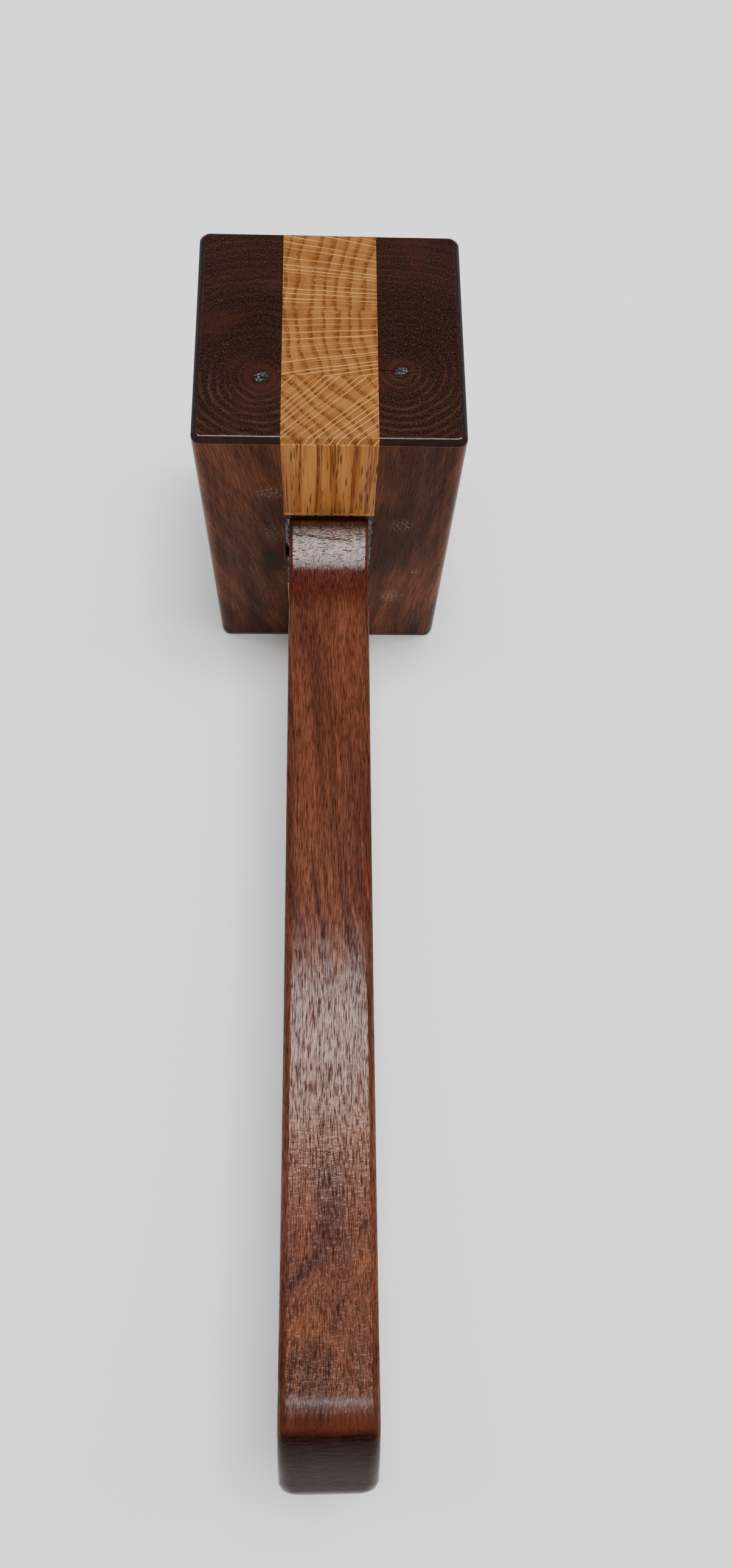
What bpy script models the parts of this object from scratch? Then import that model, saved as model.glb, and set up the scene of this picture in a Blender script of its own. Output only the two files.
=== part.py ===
"""Wooden joiner's mallet: a laminated walnut and oak head on a through-tenoned walnut handle.

Metres, +Z up. The origin is the centre of the lower striking face. +Z runs through the head from one
striking face to the other, and the handle leaves the head's front face along -Y.
"""

import math

import bmesh
import bpy
from mathutils import Vector

MM = 0.001
JOINT_GAP = 0.3 * MM  # clearance that stands for a glue line between two glued pieces

# The head: two thick walnut cheeks outside a laminated oak core.
HEAD_WIDTH = 80.0 * MM
HEAD_DEPTH = 77.3 * MM
HEAD_HEIGHT = 118.8 * MM
CORE_WIDTH = 28.4 * MM
CORE_FRONT_BOARD = 23.3 * MM  # depth of the front core board, out of HEAD_DEPTH
CORNER_RADIUS = 3.3 * MM  # the four edges between the striking faces
FACE_CHAMFER = 1.5 * MM  # the edges round each striking face

# The handle: one walnut board, its tenon running right through the head.
HANDLE_WIDTH = 25.2 * MM
TENON_HEIGHT = 39.8 * MM
WAIST_HEIGHT = 30.7 * MM
BUTT_HEIGHT = 47.0 * MM
HANDLE_REACH = 272.0 * MM  # from the head's front face to the butt
ROOT_SWEEP = 28.0 * MM  # length over which the root thins down to the waist
ROOT_POWER = 1.6
FLARE_START = 110.0 * MM
FLARE_END = 251.5 * MM
FLARE_GENTLE_SHARE = 0.62  # the rest of the flare comes only just before the butt
FLARE_GENTLE_POWER = 1.4
FLARE_STEEP_POWER = 5.0
BUTT_CORNER_RADIUS = 8.0 * MM
BUTT_SLOPE = math.radians(43.0)  # the slanted faces that take off the butt's two corners
BUTT_NOSE_RADIUS = 5.0 * MM
BUTT_PLAN_RADIUS = 4.0 * MM
EDGE_RADIUS_TENON = 0.5 * MM
EDGE_RADIUS_ROOT = 1.5 * MM
EDGE_RADIUS_GRIP = 2.8 * MM

# Wedges that spread the tenon at the back of the head.
WEDGE_LENGTH = 42.0 * MM
WEDGE_THICK_END = 3.6 * MM
WEDGE_THIN_END = 1.0 * MM
WEDGE_SPACING = 20.0 * MM

# Epoxy plugs in the pith holes of the cheeks, open at the striking faces.
PLUG_DEPTH = 9.0 * MM
PLUG_RADIUS = 1.8 * MM
LEFT_PITH = Vector((-20.1, -16.2)) * MM  # across the head, and along its depth
RIGHT_PITH = Vector((21.0, -13.6)) * MM

CORNER_STEPS = 3
TENON_STEPS = 2
ROOT_STEPS = 7
WAIST_STEPS = 3
FLARE_STEPS = 12
BUTT_STEPS = 5

FRONT = -HEAD_DEPTH / 2
BACK = HEAD_DEPTH / 2
MIDDLE = HEAD_HEIGHT / 2  # height of the handle's centre line
CORE_SIDE = CORE_WIDTH / 2
SEAM = FRONT + CORE_FRONT_BOARD
MORTISE_LOW = MIDDLE - TENON_HEIGHT / 2
MORTISE_HIGH = MIDDLE + TENON_HEIGHT / 2

WALNUT_CHEEK = ("cheek_walnut", (0.085, 0.036, 0.022), 0.42)
WALNUT_HANDLE = ("handle_walnut", (0.150, 0.050, 0.025), 0.32)
OAK_CORE = ("core_oak", (0.480, 0.240, 0.080), 0.45)
OAK_WEDGE = ("wedge_oak", (0.420, 0.200, 0.070), 0.50)
EPOXY_DARK = ("dark_epoxy", (0.050, 0.047, 0.050), 0.35)
EPOXY_SILVER = ("silver_epoxy", (0.120, 0.125, 0.120), 0.30)


def clear_scene():
    for existing in list(bpy.data.objects):
        bpy.data.objects.remove(existing, do_unlink=True)


def material(name, colour, roughness):
    """The Principled material of that name, made once and then shared."""
    found = bpy.data.materials.get(name)
    if found:
        return found
    made = bpy.data.materials.new(name)
    made.use_nodes = True
    shader = made.node_tree.nodes["Principled BSDF"]
    shader.inputs["Base Color"].default_value = (*colour, 1.0)
    shader.inputs["Roughness"].default_value = roughness
    shader.inputs["Metallic"].default_value = 0.0
    return made


def to_object(name, shape, finish):
    """Links the bmesh as an object with its finish, and frees the bmesh."""
    bmesh.ops.recalc_face_normals(shape, faces=shape.faces)
    mesh = bpy.data.meshes.new(name)
    shape.to_mesh(mesh)
    shape.free()
    made = bpy.data.objects.new(name, mesh)
    made.data.materials.append(material(*finish))
    bpy.context.scene.collection.objects.link(made)
    return made


def block(low, high):
    """A bmesh box between two corners."""
    shape = bmesh.new()
    bmesh.ops.create_cube(shape, size=1.0)
    low = Vector(low)
    high = Vector(high)
    for vert in shape.verts:
        vert.co = Vector(low[i] + (vert.co[i] + 0.5) * (high[i] - low[i]) for i in range(3))
    return shape


def as_cutter(tool):
    tool.hide_render = True
    tool.display_type = "WIRE"
    return tool


def boolean(target, tool, operation):
    step = target.modifiers.new(f"{operation.lower()}_{tool.name}", "BOOLEAN")
    step.operation = operation
    step.solver = "EXACT"
    step.object = tool


def head_envelope():
    """The finished outline of the whole head, which trims each board of the lamination."""
    half = HEAD_WIDTH / 2
    shape = block((-half, FRONT, 0.0), (half, BACK, HEAD_HEIGHT))
    upright = [e for e in shape.edges if abs(e.verts[0].co.z - e.verts[1].co.z) > HEAD_HEIGHT / 2]
    bmesh.ops.bevel(
        shape, geom=upright, offset=CORNER_RADIUS, segments=CORNER_STEPS, profile=0.5, affect="EDGES"
    )
    level = [f for f in shape.faces if abs(f.normal.z) > 0.9]
    rim = {edge for face in level for edge in face.edges}
    bmesh.ops.bevel(
        shape, geom=list(rim), offset=FACE_CHAMFER, segments=2, profile=0.35, affect="EDGES"
    )
    return as_cutter(to_object("head_envelope", shape, WALNUT_CHEEK))


def make_cheek(name, side, pith, envelope):
    """One walnut cheek, outside the core, with a blind pith hole in each striking face."""
    inner = side * (CORE_SIDE + JOINT_GAP / 2)
    outer = side * HEAD_WIDTH
    shape = block((min(inner, outer), -HEAD_DEPTH, -MM), (max(inner, outer), HEAD_DEPTH, HEAD_HEIGHT + MM))
    cheek = to_object(name, shape, WALNUT_CHEEK)
    boolean(cheek, envelope, "INTERSECT")
    for end, surface in (("lower", 0.0), ("upper", HEAD_HEIGHT)):
        drill = round_plug(f"{name}_{end}_drill", pith, surface, JOINT_GAP, MM, WALNUT_CHEEK)
        boolean(cheek, as_cutter(drill), "DIFFERENCE")


def round_plug(name, pith, surface, extra, proud, finish):
    """A slightly lopsided plug of epoxy, or with extra width the hole that holds it.

    It reaches from the striking face at height surface into the head.
    """
    inward = 1.0 if surface == 0.0 else -1.0
    shape = bmesh.new()
    sides = 14
    rings = []
    for height, share in ((-inward * proud, 1.0), (inward * (PLUG_DEPTH + extra), 0.72)):
        ring = []
        for i in range(sides):
            angle = 2 * math.pi * i / sides
            lopsided = 1.0 + 0.16 * math.sin(2 * angle + 0.7) + 0.07 * math.sin(3 * angle)
            radius = PLUG_RADIUS * share * lopsided + extra
            ring.append(
                shape.verts.new(
                    (
                        pith.x + radius * math.cos(angle),
                        pith.y + radius * math.sin(angle),
                        surface + height,
                    )
                )
            )
        rings.append(ring)
    bmesh.ops.bridge_loops(shape, edges=loop_edges(shape, rings[0]) + loop_edges(shape, rings[1]))
    shape.faces.new(rings[0])
    shape.faces.new(rings[1])
    return to_object(name, shape, finish)


def loop_edges(shape, ring):
    return [shape.edges.new((ring[i], ring[(i + 1) % len(ring)])) for i in range(len(ring))]


def make_core_board(name, front, back, low, high, envelope):
    """One oak board of the core, above or below the mortise."""
    side = CORE_SIDE - JOINT_GAP / 2
    board = to_object(name, block((-side, front, low), (side, back, high)), OAK_CORE)
    boolean(board, envelope, "INTERSECT")


def make_core(envelope):
    over = HEAD_DEPTH
    front_board = (-over, SEAM - JOINT_GAP / 2)
    rear_board = (SEAM + JOINT_GAP / 2, over)
    lower = (-MM, MORTISE_LOW - JOINT_GAP)
    upper = (MORTISE_HIGH + JOINT_GAP, HEAD_HEIGHT + MM)
    make_core_board("upper_core_front", *front_board, *upper, envelope)
    make_core_board("upper_core_rear", *rear_board, *upper, envelope)
    make_core_board("lower_core_front", *front_board, *lower, envelope)
    make_core_board("lower_core_rear", *rear_board, *lower, envelope)


def side_height(reach):
    """Half the handle's height at a distance in front of the head, up to the butt's corners."""
    half = WAIST_HEIGHT / 2
    if reach < ROOT_SWEEP:
        half += (TENON_HEIGHT - WAIST_HEIGHT) / 2 * (1 - reach / ROOT_SWEEP) ** ROOT_POWER
    if reach > FLARE_START:
        along = (reach - FLARE_START) / (FLARE_END - FLARE_START)
        gentle = FLARE_GENTLE_SHARE * along**FLARE_GENTLE_POWER
        steep = (1 - FLARE_GENTLE_SHARE) * along**FLARE_STEEP_POWER
        half += (BUTT_HEIGHT - WAIST_HEIGHT) / 2 * (gentle + steep)
    return half


def butt_profile():
    """(reach, half height) along the butt, from the end of the flare to the nose.

    A rounded corner turns the flare into a slanted face, which a smaller radius turns into the flat end.
    """
    flare = side_height(FLARE_END) - side_height(FLARE_END - MM)
    start = -math.atan2(flare, MM)
    slant_top = BUTT_HEIGHT / 2 - BUTT_CORNER_RADIUS * (math.cos(start) - math.cos(BUTT_SLOPE))
    nose_run = BUTT_NOSE_RADIUS * (1 - math.sin(BUTT_SLOPE))
    corner_run = BUTT_CORNER_RADIUS * (math.sin(BUTT_SLOPE) - math.sin(start))
    slant_run = HANDLE_REACH - FLARE_END - corner_run - nose_run
    points = []
    for i in range(BUTT_STEPS + 1):
        angle = start + (BUTT_SLOPE - start) * i / BUTT_STEPS
        reach = FLARE_END + BUTT_CORNER_RADIUS * (math.sin(angle) - math.sin(start))
        half = BUTT_HEIGHT / 2 - BUTT_CORNER_RADIUS * (math.cos(start) - math.cos(angle))
        points.append((reach, half))
    nose_top = slant_top - slant_run * math.tan(BUTT_SLOPE)
    for i in range(BUTT_STEPS + 1):
        angle = BUTT_SLOPE + (math.pi / 2 - BUTT_SLOPE) * i / BUTT_STEPS
        reach = HANDLE_REACH - BUTT_NOSE_RADIUS * (1 - math.sin(angle))
        half = nose_top - BUTT_NOSE_RADIUS * (math.cos(BUTT_SLOPE) - math.cos(angle))
        points.append((reach, half))
    return points


def handle_profile():
    """(reach, half height) from the tenon's end, behind the head, to the butt."""
    points = [(-HEAD_DEPTH * i / TENON_STEPS, TENON_HEIGHT / 2) for i in range(TENON_STEPS, 0, -1)]
    reaches = [ROOT_SWEEP * i / ROOT_STEPS for i in range(ROOT_STEPS)]
    reaches += [
        ROOT_SWEEP + (FLARE_START - ROOT_SWEEP) * i / WAIST_STEPS for i in range(WAIST_STEPS)
    ]
    reaches += [
        FLARE_START + (FLARE_END - FLARE_START) * i / FLARE_STEPS for i in range(FLARE_STEPS)
    ]
    points += [(reach, side_height(reach)) for reach in reaches]
    return points + butt_profile()


def side_width(reach):
    """Half the handle's width: constant, then rounded in plan at the butt."""
    half = HANDLE_WIDTH / 2
    into = reach - (HANDLE_REACH - BUTT_PLAN_RADIUS)
    if into > 0:
        half -= BUTT_PLAN_RADIUS - math.sqrt(BUTT_PLAN_RADIUS**2 - min(into, BUTT_PLAN_RADIUS) ** 2)
    return half


def edge_radius(reach):
    """Radius of the handle's long edges: nearly square in the head, softer towards the grip."""
    if reach <= 0:
        return EDGE_RADIUS_TENON
    share = min(1.0, reach / FLARE_START)
    return EDGE_RADIUS_ROOT + (EDGE_RADIUS_GRIP - EDGE_RADIUS_ROOT) * share


def section(shape, reach, half_height):
    """A ring of vertices: the handle's cross-section, a rectangle with rounded corners."""
    half_width = side_width(reach)
    radius = min(edge_radius(reach), 0.6 * half_height)
    ring = []
    for corner, (across, up) in enumerate(((1, 1), (-1, 1), (-1, -1), (1, -1))):
        for i in range(CORNER_STEPS + 1):
            angle = math.pi / 2 * (corner + i / CORNER_STEPS)
            x = across * (half_width - radius) + radius * math.cos(angle)
            z = up * (half_height - radius) + radius * math.sin(angle)
            ring.append(shape.verts.new((x, FRONT - reach, MIDDLE + z)))
    return ring


def wedge_block(name, centre, extra, finish):
    """A wedge driven in from the back of the head, or with extra size the kerf that holds it."""
    shape = bmesh.new()
    side = HANDLE_WIDTH / 2 + (MM if extra else 0.0)
    back = BACK + (MM if extra else 0.0)
    tip = BACK - WEDGE_LENGTH - extra
    corners = (
        (back, WEDGE_THICK_END / 2 + extra),
        (tip, WEDGE_THIN_END / 2 + extra),
        (tip, -WEDGE_THIN_END / 2 - extra),
        (back, -WEDGE_THICK_END / 2 - extra),
    )
    rings = [[shape.verts.new((x, y, centre + z)) for y, z in corners] for x in (-side, side)]
    for ring in rings:
        shape.faces.new(ring)
    for i in range(4):
        j = (i + 1) % 4
        shape.faces.new((rings[0][i], rings[0][j], rings[1][j], rings[1][i]))
    return to_object(name, shape, finish)


def make_handle():
    """The handle and its tenon as one piece, lofted along its length, with two kerfs for the wedges."""
    shape = bmesh.new()
    rings = [section(shape, reach, half) for reach, half in handle_profile()]
    count = len(rings[0])
    for first, second in zip(rings, rings[1:]):
        for i in range(count):
            j = (i + 1) % count
            shape.faces.new((first[i], first[j], second[j], second[i]))
    shape.faces.new(rings[0])
    shape.faces.new(rings[-1])
    handle = to_object("handle", shape, WALNUT_HANDLE)
    for end, sign in (("upper", 1), ("lower", -1)):
        centre = MIDDLE + sign * WEDGE_SPACING / 2
        kerf = as_cutter(wedge_block(f"{end}_kerf", centre, JOINT_GAP, WALNUT_HANDLE))
        boolean(handle, kerf, "DIFFERENCE")
        wedge_block(f"tenon_wedge_{end}", centre, 0.0, OAK_WEDGE)
    handle.data.shade_smooth()
    handle.data.set_sharp_from_angle(angle=math.radians(35))


def make_mortise_fills():
    """Epoxy that fills the mortise beside the tenon, which is thinner than the core."""
    for name, side in (("mortise_fill_left", -1), ("mortise_fill_right", 1)):
        inner = side * (HANDLE_WIDTH / 2 + JOINT_GAP)
        outer = side * (CORE_SIDE - JOINT_GAP / 2)
        low = (min(inner, outer), FRONT, MORTISE_LOW)
        high = (max(inner, outer), BACK, MORTISE_HIGH)
        to_object(name, block(low, high), EPOXY_DARK)


def main():
    clear_scene()
    envelope = head_envelope()
    for name, side, pith in (("left_cheek", -1, LEFT_PITH), ("right_cheek", 1, RIGHT_PITH)):
        make_cheek(name, side, pith, envelope)
        half = name.split("_")[0]
        for end, surface in (("lower", 0.0), ("upper", HEAD_HEIGHT)):
            round_plug(f"pith_fill_{half}_{end}", pith, surface, 0.0, 0.0, EPOXY_SILVER)
    make_core(envelope)
    make_handle()
    make_mortise_fills()


main()
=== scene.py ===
"""Looks for the wooden mallet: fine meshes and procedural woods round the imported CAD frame.

Lengths in this file are millimetres in the frame of the CAD part: +Z runs through the head, and the
handle leaves the head's front face along -Y. They become metres only where a mesh or an object is made.
"""

import math

import bmesh
import bpy
from mathutils import Euler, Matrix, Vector, noise


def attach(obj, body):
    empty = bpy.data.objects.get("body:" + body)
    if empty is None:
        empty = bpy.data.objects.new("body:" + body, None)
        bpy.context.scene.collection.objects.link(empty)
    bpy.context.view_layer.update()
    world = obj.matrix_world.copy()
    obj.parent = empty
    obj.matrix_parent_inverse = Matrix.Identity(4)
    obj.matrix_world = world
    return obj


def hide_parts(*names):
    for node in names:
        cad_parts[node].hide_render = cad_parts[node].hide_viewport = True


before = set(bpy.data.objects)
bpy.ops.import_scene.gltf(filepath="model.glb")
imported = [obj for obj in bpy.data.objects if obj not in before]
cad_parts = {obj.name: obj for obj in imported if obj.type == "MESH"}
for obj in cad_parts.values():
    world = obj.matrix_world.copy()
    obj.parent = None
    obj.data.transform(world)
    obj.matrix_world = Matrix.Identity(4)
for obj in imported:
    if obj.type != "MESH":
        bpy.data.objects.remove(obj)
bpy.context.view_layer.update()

MM = 0.001

# Sizes of the CAD part, without the gaps that stand for its glue lines.
HEAD_HALF_WIDTH = 40.0
FRONT = -38.65
BACK = 38.65
HEAD_HEIGHT = 118.8
MIDDLE = HEAD_HEIGHT / 2
CORE_SIDE = 14.2
SEAM = -15.35
CORNER_RADIUS = 3.3
CHAMFER = 1.5
HANDLE_HALF_WIDTH = 12.6
TENON_HEIGHT = 39.8
WAIST_HEIGHT = 30.7
BUTT_HEIGHT = 47.0
HANDLE_REACH = 272.0
ROOT_SWEEP = 28.0
ROOT_POWER = 1.6
FLARE_START = 110.0
FLARE_END = 251.5
FLARE_GENTLE_SHARE = 0.62
FLARE_GENTLE_POWER = 1.4
FLARE_STEEP_POWER = 5.0
BUTT_CORNER_RADIUS = 8.0
BUTT_SLOPE = math.radians(43.0)
BUTT_NOSE_RADIUS = 5.0
BUTT_PLAN_RADIUS = 4.0
EDGE_RADIUS_TENON = 0.5
EDGE_RADIUS_ROOT = 1.5
EDGE_RADIUS_GRIP = 2.8
MORTISE_LOW = MIDDLE - TENON_HEIGHT / 2
MORTISE_HIGH = MIDDLE + TENON_HEIGHT / 2
WEDGE_LENGTH = 42.0
WEDGE_THICK_END = 3.6
WEDGE_THIN_END = 1.0
WEDGE_SPACING = 20.0
PLUG_DEPTH = 9.0
LEFT_PITH = (-20.1, -16.2)
RIGHT_PITH = (21.0, -13.6)

# Finer than the CAD: small radii on the chamfers' edges, the pith plugs, a void in the epoxy beside the
# tenon, and the steps of the meshes.
RIM_FACE_RADIUS = 1.5
RIM_SIDE_RADIUS = 0.8
RIM_WAVE = 0.07
PLUG_RADIUS = 1.9
PLUG_TAPER = 0.8
VOID_PLACE = (-14.0, 59.5)
VOID_HALF_WIDTH = 0.62
VOID_HALF_HEIGHT = 3.0
VOID_DEPTH = 2.5
SUPPORT = 0.35
CORNER_STEPS = 8
EDGE_STEPS = 6
BUTT_STEPS = 9
SHARP_ANGLE = math.radians(33)

# Colours, as linear red, green and blue.
END_DARK, END_PALE = (0.0080, 0.0036, 0.0028), (0.0310, 0.0128, 0.0084)
END_FLECK = (0.050, 0.0205, 0.0145)
END_PATCH = (0.036, 0.0110, 0.0070)
END_HALO = (0.040, 0.0140, 0.0092)
END_SHAKE = (0.003, 0.0015, 0.0012)
DUST = (0.15, 0.125, 0.11)
SIDE_DARK, SIDE_PALE = (0.048, 0.0150, 0.0079), (0.124, 0.040, 0.0184)
SIDE_PATCH = (0.138, 0.043, 0.0178)
SIDE_PORE = (0.012, 0.0045, 0.0032)
SMUDGE = (0.014, 0.0085, 0.0080)
SCUFF = (0.50, 0.42, 0.37)
# Painted reflections on the cheeks' chamfered rims: near black facing front or back, blue-grey facing the
# sides.
PAINTED_REFLECTION_FRONT, PAINTED_REFLECTION_SIDE = (0.0075, 0.0030, 0.0026), (0.0095, 0.0092, 0.0102)
OAK_DARK, OAK_PALE = (0.146, 0.054, 0.0136), (0.212, 0.088, 0.0250)
OAK_RING = (0.084, 0.0215, 0.0046)
OAK_PORE = (0.048, 0.0130, 0.0036)
OAK_SMALL_PORE = (0.080, 0.027, 0.0065)
OAK_RAY, OAK_THIN_RAY = (0.46, 0.235, 0.088), (0.30, 0.140, 0.048)
OAK_STREAK, OAK_GOLD = (0.090, 0.024, 0.0062), (0.66, 0.31, 0.090)
OAK_LONG_PORE = (0.045, 0.012, 0.0045)
OAK_SILL, OAK_GLUE = (0.70, 0.40, 0.17), (0.022, 0.0055, 0.0035)
HANDLE_DARK, HANDLE_PALE = (0.054, 0.0165, 0.0098), (0.086, 0.0275, 0.0150)
BAND_DARK, BAND_PALE = (0.026, 0.0085, 0.0070), (0.128, 0.0430, 0.0215)
MOTTLE_DARK, MOTTLE_PALE = (0.034, 0.0115, 0.0105), (0.125, 0.0380, 0.0150)
HANDLE_STREAK = (0.020, 0.0080, 0.0080)
HANDLE_RED = (0.040, 0.0078, 0.0044)
HANDLE_PORE = (0.010, 0.0035, 0.0032)
HANDLE_CORNER = (0.062, 0.0120, 0.0045)
HANDLE_CRACK = (0.014, 0.0035, 0.0028)
TENON_DARK, TENON_PALE = (0.016, 0.0055, 0.0036), (0.046, 0.0165, 0.0100)
BUTT_DARK, BUTT_PALE = (0.0100, 0.0026, 0.0016), (0.0230, 0.0085, 0.0062)
GRIP_GLOSS, PLAIN_GLOSS = (1.0, 0.83, 0.70), (1.0, 1.0, 1.0)
PITH_EPOXY = ((0.004, 0.004, 0.004), (0.020, 0.021, 0.021))
MORTISE_EPOXY = ((0.030, 0.022, 0.020), (0.115, 0.085, 0.078))
EPOXY_GRAIN = (0.20, 0.205, 0.20)
CLOTH = (0.79, 0.79, 0.79)

# Each cheek: side, pith, seed of its noises, lean of its grain, whether a crack runs out from the pith,
# brightness of the front face low down and high up, and the wear on that face. Each mark of wear is
# (x, z, half width, half height, strength, colour), a speckled scuff or a smudge.
CHEEKS = {
    "left": {
        "side": -1,
        "pith": LEFT_PITH,
        "seed": 3.0,
        "lean": 0.16,
        "shaken": False,
        "tones": (0.80, 1.25),
        "wear": (
            (-18.5, 93.5, 5.5, 5.0, 0.85, SCUFF),
            (-18.0, 71.0, 4.5, 7.5, 0.60, SCUFF),
            (-18.5, 54.0, 6.0, 11.0, 0.55, SMUDGE),
        ),
    },
    "right": {
        "side": 1,
        "pith": RIGHT_PITH,
        "seed": 11.0,
        "lean": -0.07,
        "shaken": True,
        "tones": (1.16, 1.00),
        "wear": (
            (23.0, 76.0, 6.0, 5.0, 0.95, SCUFF),
            (29.6, 47.6, 2.2, 2.2, 0.90, SCUFF),
            (22.5, 30.5, 5.5, 6.0, 0.95, SCUFF),
        ),
    },
}

WALNUT_RING_SPACING = 2.5

# The dark streak along the handle: (distance in front of the head, place across the handle).
STREAK_PATH = [
    (-80, -4.5),
    (0, -4.2),
    (38, -3.1),
    (65, -1.0),
    (84, 0.6),
    (110, 1.1),
    (140, 5.1),
    (180, 7.0),
    (207, 7.1),
    (230, -7.8),
    (275, -11),
]

# The oak boards: (pith, millimetres between rings, seed).
FRONT_OAK = ((-122.0, -140.0), 4.3, 5.0)
REAR_OAK = ((116.0, 8.5), 3.9, 2.0)
WEDGE_OAK = ((-60.0, 140.0), 3.5, 8.0)

# Studio. A light is (place, target, width, depth, power), in metres and watts. The camera's place is in
# metres and its angles are in degrees. The floor, the lens and the sensor are in millimetres.
STRIP = ((0.2, 0.215, 2.1), (0.2, 0.215, 0.0), 3.0, 0.29, 38)
SOFTBOX = ((0.18, 0.05, 1.9), (0.02, 0.0, 0.0), 0.8, 0.8, 52)
WORLD_STRENGTH = 0.12
FLOOR_HALF_SIZE = 6000
CAMERA_PLACE = (-0.00221, -0.242418, 0.394681)
CAMERA_YAW, CAMERA_TILT, CAMERA_ROLL = -6.4842, 20.0547, 6.2296
CAMERA_LENS = 26.4352
CAMERA_SENSOR = 36.0


# ---------------------------------------------------------------- shader graphs


class Value:
    """A number in a shader graph. Arithmetic on it adds Math nodes."""

    def __init__(self, graph, socket):
        self.graph = graph
        self.socket = socket

    def __add__(self, other):
        return self.graph.math("ADD", self, other)

    __radd__ = __add__

    def __sub__(self, other):
        return self.graph.math("SUBTRACT", self, other)

    def __rsub__(self, other):
        return self.graph.math("SUBTRACT", other, self)

    def __mul__(self, other):
        return self.graph.math("MULTIPLY", self, other)

    __rmul__ = __mul__

    def __truediv__(self, other):
        return self.graph.math("DIVIDE", self, other)

    def __abs__(self):
        return self.graph.math("ABSOLUTE", self)

    def __neg__(self):
        return self * -1.0


class Graph:
    """One material's nodes. Positions are millimetres in the part's frame."""

    def __init__(self, name):
        self.material = bpy.data.materials.new(name)
        self.material.use_nodes = True
        self.tree = self.material.node_tree
        self.shader = self.tree.nodes["Principled BSDF"]
        place = self.tree.nodes.new("ShaderNodeTexCoord")
        self.x, self.y, self.z = (v * 1000.0 for v in self.split(place.outputs["Object"]))
        normal = self.split(place.outputs["Normal"])
        self.facing_x, self.facing_y, self.facing_z = normal

    def feed(self, socket, value):
        if isinstance(value, Value):
            value = value.socket
        if isinstance(value, bpy.types.NodeSocket):
            self.tree.links.new(value, socket)
        elif isinstance(value, tuple) and len(socket.default_value) == 4:
            socket.default_value = (*value, 1.0)
        else:
            socket.default_value = value

    def split(self, vector):
        node = self.tree.nodes.new("ShaderNodeSeparateXYZ")
        self.feed(node.inputs[0], vector)
        return [Value(self, out) for out in node.outputs]

    def math(self, operation, *values):
        node = self.tree.nodes.new("ShaderNodeMath")
        node.operation = operation
        for socket, value in zip(node.inputs, values):
            self.feed(socket, value)
        return Value(self, node.outputs[0])

    def vector(self, x, y, z):
        node = self.tree.nodes.new("ShaderNodeCombineXYZ")
        for socket, value in zip(node.inputs, (x, y, z)):
            self.feed(socket, value)
        return node.outputs[0]

    def noise(self, x, y, z, detail=2.0, roughness=0.5):
        """Soft noise, 0 to 1 and mostly near a half, one lump to a unit."""
        node = self.tree.nodes.new("ShaderNodeTexNoise")
        self.feed(node.inputs["Vector"], self.vector(x, y, z))
        node.inputs["Scale"].default_value = 1.0
        node.inputs["Detail"].default_value = detail
        node.inputs["Roughness"].default_value = roughness
        return Value(self, node.outputs[0])

    def cells(self, x, y, z):
        """Scattered points, one to a unit cube: the distance to the nearest, and a random number of it."""
        node = self.tree.nodes.new("ShaderNodeTexVoronoi")
        self.feed(node.inputs["Vector"], self.vector(x, y, z))
        node.inputs["Scale"].default_value = 1.0
        return Value(self, node.outputs["Distance"]), self.split(node.outputs["Color"])[0]

    def marks(self, place):
        """Scattered marks along a line, one to a unit: the distance to the nearest and its random number."""
        node = self.tree.nodes.new("ShaderNodeTexVoronoi")
        node.voronoi_dimensions = "1D"
        self.feed(node.inputs["W"], place)
        node.inputs["Scale"].default_value = 1.0
        return Value(self, node.outputs["Distance"]), self.split(node.outputs["Color"])[0]

    def fade(self, value, start, end, low=0.0, high=1.0):
        """low up to start, high from end, and a smooth change between."""
        node = self.tree.nodes.new("ShaderNodeMapRange")
        node.interpolation_type = "SMOOTHSTEP"
        for name, number in (("Value", value), ("From Min", start), ("From Max", end)):
            self.feed(node.inputs[name], number)
        self.feed(node.inputs["To Min"], low)
        self.feed(node.inputs["To Max"], high)
        return Value(self, node.outputs[0])

    def within(self, value, low, high, soft):
        """1 between low and high, 0 outside, with soft edges."""
        return self.fade(value, low - soft, low + soft) * self.fade(value, high + soft, high - soft)

    def curve(self, value, points):
        """A smooth curve through points (value, result)."""
        node = self.tree.nodes.new("ShaderNodeFloatCurve")
        starts = [p[0] for p in points]
        results = [p[1] for p in points]
        low, high = min(starts), max(starts)
        least, most = min(results), max(results)
        line = node.mapping.curves[0]
        while len(line.points) < len(points):
            line.points.new(0.5, 0.5)
        for point, (start, result) in zip(line.points, points):
            point.location = ((start - low) / (high - low), (result - least) / (most - least))
        node.mapping.update()
        self.feed(node.inputs["Value"], (value - low) / (high - low))
        return Value(self, node.outputs[0]) * (most - least) + least

    def sine(self, value):
        return self.math("SINE", value)

    def length(self, a, b):
        return self.math("SQRT", a * a + b * b)

    def mix(self, factor, first, second):
        node = self.tree.nodes.new("ShaderNodeMix")
        node.data_type = "RGBA"
        self.feed(node.inputs["Factor"], factor)
        self.feed(node.inputs[6], first)
        self.feed(node.inputs[7], second)
        return node.outputs[2]

    def shade(self, colour, factor):
        """The colour made brighter or darker."""
        node = self.tree.nodes.new("ShaderNodeVectorMath")
        node.operation = "SCALE"
        self.feed(node.inputs[0], colour)
        self.feed(node.inputs["Scale"], factor)
        return node.outputs[0]

    def finish(self, colour, roughness, height, specular=0.5, tint=PLAIN_GLOSS):
        """Ends the material. height is the relief in millimetres."""
        bump = self.tree.nodes.new("ShaderNodeBump")
        bump.inputs["Strength"].default_value = 1.0
        bump.inputs["Distance"].default_value = MM
        self.feed(bump.inputs["Height"], height)
        self.feed(self.shader.inputs["Base Color"], colour)
        self.feed(self.shader.inputs["Roughness"], roughness)
        self.feed(self.shader.inputs["Normal"], bump.outputs[0])
        self.feed(self.shader.inputs["Specular IOR Level"], specular)
        self.feed(self.shader.inputs["Specular Tint"], tint)
        return self.material


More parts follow.
